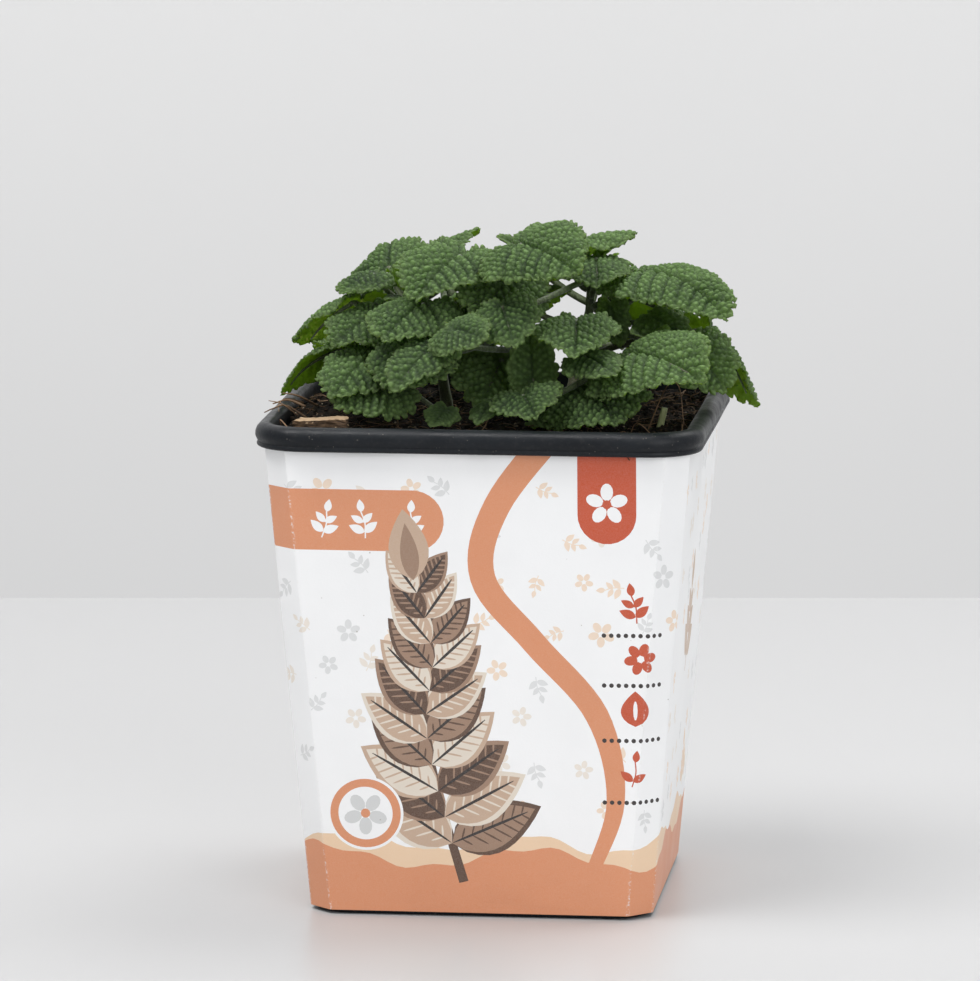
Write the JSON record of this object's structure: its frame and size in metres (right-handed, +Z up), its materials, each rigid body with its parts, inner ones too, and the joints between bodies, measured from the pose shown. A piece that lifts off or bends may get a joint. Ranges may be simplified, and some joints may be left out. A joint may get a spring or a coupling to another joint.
{
  "type": "potted catnip plant",
  "caption": "Bushy herb plant with heart-shaped, round-toothed, puckered leaves in a square tapered plastic pot with a folded printed card sleeve.",
  "frame": {"origin": "middle of the pot's flat underside, on the surface it stands on", "axes": "+Z up, -Y is the front of the sleeve, +X is the viewer's right when the front is faced"},
  "size_m": [0.1339, 0.1319, 0.1894],
  "materials": {
    "pot": "black moulded plastic, soft sheen, dusty",
    "sleeve": "smooth coated white card with a printed pattern",
    "soil": "damp dark peat compost with fibres and grit",
    "chip": "dry fibrous coir",
    "stub": "pale green cut stem",
    "stem": "soft square green stem, finely hairy",
    "leaf": "soft puckered leaf, matt and finely hairy"
  },
  "bodies": {
    "root": {"coir_chip": "chip", "cut_stem": "stub", "leaf_back_lit": "leaf", "leaf_crown_front": "leaf", "leaf_crown_top": "leaf", "leaf_front_facing": "leaf", "leaf_front_folded": "leaf", "leaf_front_hidden": "leaf", "leaf_front_right": "leaf", "leaf_front_small_left": "leaf", "leaf_front_small_middle": "leaf", "leaf_front_upright": "leaf", "leaf_left_broad": "leaf", "leaf_left_crest": "leaf", "leaf_left_dark": "leaf", "leaf_left_drooping": "leaf", "leaf_left_low_hanging": "leaf", "leaf_left_middle": "leaf", "leaf_left_rim": "leaf", "leaf_left_shoulder": "leaf", "leaf_left_small": "leaf", "leaf_left_smooth": "leaf", "leaf_left_top": "leaf", "leaf_left_wide": "leaf", "leaf_middle_curled": "leaf", "leaf_middle_green": "leaf", "leaf_middle_low": "leaf", "leaf_middle_shaded": "leaf", "leaf_middle_upper": "leaf", "leaf_rear_corner": "leaf", "leaf_rear_inner": "leaf", "leaf_rear_left_low": "leaf", "leaf_rear_left_top": "leaf", "leaf_rear_middle_low": "leaf", "leaf_rear_middle_top": "leaf", "leaf_rear_right_low": "leaf", "leaf_rear_right_top": "leaf", "leaf_right_crest": "leaf", "leaf_right_hanging": "leaf", "leaf_right_hooded": "leaf", "leaf_right_low": "leaf", "leaf_right_shaded": "leaf", "leaf_right_top": "leaf", "leaf_right_under": "leaf", "leaf_rim_dark": "leaf", "pot": "pot", "sleeve": "sleeve", "soil": "soil", "stem_left_back": "stem", "stem_left_front": "stem", "stem_middle": "stem", "stem_rear_left": "stem", "stem_rear_right": "stem", "stem_right_back": "stem", "stem_right_front": "stem"}
  },
  "joints": []
}
